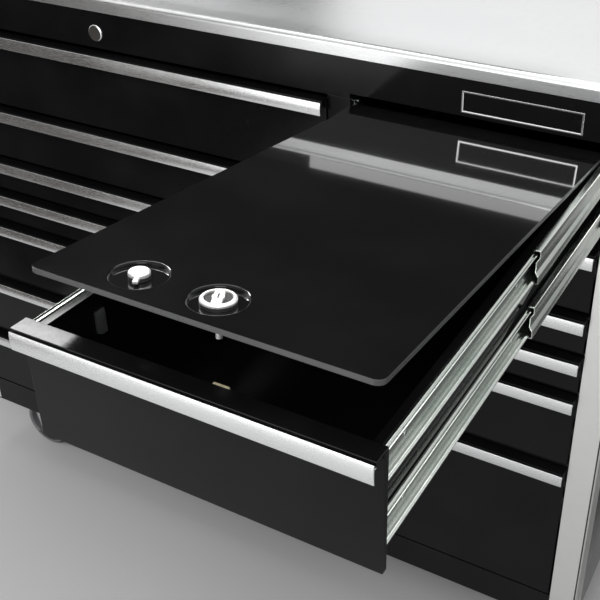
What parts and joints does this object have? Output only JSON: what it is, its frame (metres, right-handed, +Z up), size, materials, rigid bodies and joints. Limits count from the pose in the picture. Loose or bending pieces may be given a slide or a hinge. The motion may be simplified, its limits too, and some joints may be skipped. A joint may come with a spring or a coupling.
{
  "type": "tool cabinet",
  "caption": "Black rolling tool cabinet with two banks of drawers, bright aluminium pulls, a stainless worktop, casters and one open drawer under a raised lockable lid",
  "frame": {"origin": "Middle of the bounding box, on the floor under the wheels.", "axes": "+X runs to the right seen from the front, +Y from the drawer fronts to the back, +Z up."},
  "size_m": [1.4738, 1.4646, 1.1963],
  "materials": {
    "black_powder_coat": "gloss black powder coat",
    "bright_aluminium": "bright anodised extrusion",
    "stainless": "fine brushed stainless sheet",
    "zinc_plated": "zinc-plated cold-rolled steel",
    "polished_chrome": "polished chrome",
    "caster_rubber": "matt dark rubber tread on a moulded wheel"
  },
  "bodies": {
    "cabinet": {"base_pan": "black_powder_coat", "side_panel_left": "black_powder_coat", "side_panel_right": "black_powder_coat", "centre_divider": "black_powder_coat", "back_panel": "black_powder_coat", "front_header": "black_powder_coat", "worktop": "stainless", "corner_posts": "bright_aluminium", "cabinet_slide_members": "zinc_plated", "caster_plates": "zinc_plated"},
    "left_drawer_1": {"left_drawer_1": "black_powder_coat", "left_drawer_1_pull": "bright_aluminium"},
    "left_drawer_1_slides": {"left_drawer_1_slides": "zinc_plated"},
    "left_drawer_2": {"left_drawer_2": "black_powder_coat", "left_drawer_2_pull": "bright_aluminium"},
    "left_drawer_2_slides": {"left_drawer_2_slides": "zinc_plated"},
    "left_drawer_3": {"left_drawer_3": "black_powder_coat", "left_drawer_3_pull": "bright_aluminium"},
    "left_drawer_3_slides": {"left_drawer_3_slides": "zinc_plated"},
    "left_drawer_4": {"left_drawer_4": "black_powder_coat", "left_drawer_4_pull": "bright_aluminium"},
    "left_drawer_4_slides": {"left_drawer_4_slides": "zinc_plated"},
    "left_drawer_5": {"left_drawer_5": "black_powder_coat", "left_drawer_5_pull": "bright_aluminium"},
    "left_drawer_5_slides": {"left_drawer_5_slides": "zinc_plated"},
    "left_drawer_6": {"left_drawer_6": "black_powder_coat", "left_drawer_6_pull": "bright_aluminium"},
    "left_drawer_6_slides": {"left_drawer_6_slides": "zinc_plated"},
    "left_drawer_7": {"left_drawer_7": "black_powder_coat", "left_drawer_7_pull": "bright_aluminium"},
    "left_drawer_7_slides": {"left_drawer_7_slides": "zinc_plated"},
    "right_drawer_1": {"right_drawer_1": "black_powder_coat", "right_drawer_1_pull": "bright_aluminium", "lid_hinge": "zinc_plated"},
    "right_drawer_1_slides": {"right_drawer_1_slides": "zinc_plated"},
    "right_drawer_2": {"right_drawer_2": "black_powder_coat", "right_drawer_2_pull": "bright_aluminium"},
    "right_drawer_2_slides": {"right_drawer_2_slides": "zinc_plated"},
    "right_drawer_3": {"right_drawer_3": "black_powder_coat", "right_drawer_3_pull": "bright_aluminium"},
    "right_drawer_3_slides": {"right_drawer_3_slides": "zinc_plated"},
    "right_drawer_4": {"right_drawer_4": "black_powder_coat", "right_drawer_4_pull": "bright_aluminium"},
    "right_drawer_4_slides": {"right_drawer_4_slides": "zinc_plated"},
    "right_drawer_5": {"right_drawer_5": "black_powder_coat", "right_drawer_5_pull": "bright_aluminium"},
    "right_drawer_5_slides": {"right_drawer_5_slides": "zinc_plated"},
    "right_drawer_6": {"right_drawer_6": "black_powder_coat", "right_drawer_6_pull": "bright_aluminium"},
    "right_drawer_6_slides": {"right_drawer_6_slides": "zinc_plated"},
    "lid": {"drawer_lid": "black_powder_coat"},
    "knob": {"lid_knob": "polished_chrome"},
    "lid_lock": {"lid_lock": "polished_chrome"},
    "central_lock": {"central_lock": "polished_chrome"},
    "swivel_front": {"swivel_fork_front": "zinc_plated"},
    "wheel_front_left": {"wheel_front_left": "caster_rubber"},
    "wheel_front_right": {"wheel_front_right": "caster_rubber"},
    "swivel_rear": {"swivel_fork_rear": "zinc_plated"},
    "wheel_rear_left": {"wheel_rear_left": "caster_rubber"},
    "wheel_rear_right": {"wheel_rear_right": "caster_rubber"}
  },
  "joints": [
    {"name": "left_drawer_1_slide", "type": "slide", "parent": "cabinet", "child": "left_drawer_1", "axis": [0, -1, 0], "range_m": [0, 0.684]},
    {"name": "left_drawer_1_middle_slide", "type": "slide", "parent": "cabinet", "child": "left_drawer_1_slides", "axis": [0, -1, 0], "range_m": [0, 0.3113]},
    {"name": "left_drawer_2_slide", "type": "slide", "parent": "cabinet", "child": "left_drawer_2", "axis": [0, -1, 0], "range_m": [0, 0.684]},
    {"name": "left_drawer_2_middle_slide", "type": "slide", "parent": "cabinet", "child": "left_drawer_2_slides", "axis": [0, -1, 0], "range_m": [0, 0.3113]},
    {"name": "left_drawer_3_slide", "type": "slide", "parent": "cabinet", "child": "left_drawer_3", "axis": [0, -1, 0], "range_m": [0, 0.684]},
    {"name": "left_drawer_3_middle_slide", "type": "slide", "parent": "cabinet", "child": "left_drawer_3_slides", "axis": [0, -1, 0], "range_m": [0, 0.3113]},
    {"name": "left_drawer_4_slide", "type": "slide", "parent": "cabinet", "child": "left_drawer_4", "axis": [0, -1, 0], "range_m": [0, 0.684]},
    {"name": "left_drawer_4_middle_slide", "type": "slide", "parent": "cabinet", "child": "left_drawer_4_slides", "axis": [0, -1, 0], "range_m": [0, 0.3113]},
    {"name": "left_drawer_5_slide", "type": "slide", "parent": "cabinet", "child": "left_drawer_5", "axis": [0, -1, 0], "range_m": [0, 0.684]},
    {"name": "left_drawer_5_middle_slide", "type": "slide", "parent": "cabinet", "child": "left_drawer_5_slides", "axis": [0, -1, 0], "range_m": [0, 0.3113]},
    {"name": "left_drawer_6_slide", "type": "slide", "parent": "cabinet", "child": "left_drawer_6", "axis": [0, -1, 0], "range_m": [0, 0.684]},
    {"name": "left_drawer_6_middle_slide", "type": "slide", "parent": "cabinet", "child": "left_drawer_6_slides", "axis": [0, -1, 0], "range_m": [0, 0.3113]},
    {"name": "left_drawer_7_slide", "type": "slide", "parent": "cabinet", "child": "left_drawer_7", "axis": [0, -1, 0], "range_m": [0, 0.684]},
    {"name": "left_drawer_7_middle_slide", "type": "slide", "parent": "cabinet", "child": "left_drawer_7_slides", "axis": [0, -1, 0], "range_m": [0, 0.3113]},
    {"name": "right_drawer_1_slide", "type": "slide", "parent": "cabinet", "child": "right_drawer_1", "axis": [0, 1, 0], "range_m": [0, 0.684]},
    {"name": "right_drawer_1_middle_slide", "type": "slide", "parent": "cabinet", "child": "right_drawer_1_slides", "axis": [0, 1, 0], "range_m": [0, 0.3113]},
    {"name": "right_drawer_2_slide", "type": "slide", "parent": "cabinet", "child": "right_drawer_2", "axis": [0, -1, 0], "range_m": [0, 0.684]},
    {"name": "right_drawer_2_middle_slide", "type": "slide", "parent": "cabinet", "child": "right_drawer_2_slides", "axis": [0, -1, 0], "range_m": [0, 0.3113]},
    {"name": "right_drawer_3_slide", "type": "slide", "parent": "cabinet", "child": "right_drawer_3", "axis": [0, -1, 0], "range_m": [0, 0.684]},
    {"name": "right_drawer_3_middle_slide", "type": "slide", "parent": "cabinet", "child": "right_drawer_3_slides", "axis": [0, -1, 0], "range_m": [0, 0.3113]},
    {"name": "right_drawer_4_slide", "type": "slide", "parent": "cabinet", "child": "right_drawer_4", "axis": [0, -1, 0], "range_m": [0, 0.684]},
    {"name": "right_drawer_4_middle_slide", "type": "slide", "parent": "cabinet", "child": "right_drawer_4_slides", "axis": [0, -1, 0], "range_m": [0, 0.3113]},
    {"name": "right_drawer_5_slide", "type": "slide", "parent": "cabinet", "child": "right_drawer_5", "axis": [0, -1, 0], "range_m": [0, 0.684]},
    {"name": "right_drawer_5_middle_slide", "type": "slide", "parent": "cabinet", "child": "right_drawer_5_slides", "axis": [0, -1, 0], "range_m": [0, 0.3113]},
    {"name": "right_drawer_6_slide", "type": "slide", "parent": "cabinet", "child": "right_drawer_6", "axis": [0, -1, 0], "range_m": [0, 0.684]},
    {"name": "right_drawer_6_middle_slide", "type": "slide", "parent": "cabinet", "child": "right_drawer_6_slides", "axis": [0, -1, 0], "range_m": [0, 0.3113]},
    {"name": "lid_hinge_joint", "type": "hinge", "parent": "right_drawer_1", "child": "lid", "pos_m": [0.4827, -0.0201, 1.0923], "axis": [1, 0, 0], "range_deg": [0, 5.1]},
    {"name": "lid_knob_turn", "type": "hinge", "parent": "lid", "child": "knob", "pos_m": [0.3897, -0.65717, 1.14916], "axis": [0, 0.0889, 0.996], "range_deg": [0, 90]},
    {"name": "lid_lock_turn", "type": "hinge", "parent": "lid", "child": "lid_lock", "pos_m": [0.4827, -0.65717, 1.14916], "axis": [0, 0.0889, 0.996], "range_deg": [0, 158]},
    {"name": "central_lock_turn", "type": "hinge", "parent": "cabinet", "child": "central_lock", "pos_m": [-0.2267, -0.0297, 1.1333], "axis": [0, 1, 0], "range_deg": [0, 90]},
    {"name": "swivel_front_turn", "type": "hinge", "parent": "cabinet", "child": "swivel_front", "pos_m": [0.6269, 0.0603, 0.162], "axis": [0, 0, 1], "continuous": true},
    {"name": "wheel_front_left_roll", "type": "hinge", "parent": "cabinet", "child": "wheel_front_left", "pos_m": [-0.6269, 0.0603, 0.0635], "axis": [0, 1, 0], "continuous": true},
    {"name": "wheel_front_right_roll", "type": "hinge", "parent": "swivel_front", "child": "wheel_front_right", "pos_m": [0.6589, 0.0603, 0.0635], "axis": [0, 1, 0], "continuous": true},
    {"name": "swivel_rear_turn", "type": "hinge", "parent": "cabinet", "child": "swivel_rear", "pos_m": [0.6269, 0.6423, 0.162], "axis": [0, 0, 1], "continuous": true},
    {"name": "wheel_rear_left_roll", "type": "hinge", "parent": "cabinet", "child": "wheel_rear_left", "pos_m": [-0.6269, 0.6423, 0.0635], "axis": [0, 1, 0], "continuous": true},
    {"name": "wheel_rear_right_roll", "type": "hinge", "parent": "swivel_rear", "child": "wheel_rear_right", "pos_m": [0.6589, 0.6423, 0.0635], "axis": [0, 1, 0], "continuous": true}
  ],
  "couplings": [
    {"joint": "left_drawer_1_middle_slide", "follows": "left_drawer_1_slide", "ratio": 0.455},
    {"joint": "left_drawer_2_middle_slide", "follows": "left_drawer_2_slide", "ratio": 0.455},
    {"joint": "left_drawer_3_middle_slide", "follows": "left_drawer_3_slide", "ratio": 0.455},
    {"joint": "left_drawer_4_middle_slide", "follows": "left_drawer_4_slide", "ratio": 0.455},
    {"joint": "left_drawer_5_middle_slide", "follows": "left_drawer_5_slide", "ratio": 0.455},
    {"joint": "left_drawer_6_middle_slide", "follows": "left_drawer_6_slide", "ratio": 0.455},
    {"joint": "left_drawer_7_middle_slide", "follows": "left_drawer_7_slide", "ratio": 0.455},
    {"joint": "right_drawer_1_middle_slide", "follows": "right_drawer_1_slide", "ratio": 0.455},
    {"joint": "right_drawer_2_middle_slide", "follows": "right_drawer_2_slide", "ratio": 0.455},
    {"joint": "right_drawer_3_middle_slide", "follows": "right_drawer_3_slide", "ratio": 0.455},
    {"joint": "right_drawer_4_middle_slide", "follows": "right_drawer_4_slide", "ratio": 0.455},
    {"joint": "right_drawer_5_middle_slide", "follows": "right_drawer_5_slide", "ratio": 0.455},
    {"joint": "right_drawer_6_middle_slide", "follows": "right_drawer_6_slide", "ratio": 0.455},
    {"joint": "lid_hinge_joint", "follows": "right_drawer_1_slide", "rad_per_m": 0.13013}
  ]
}
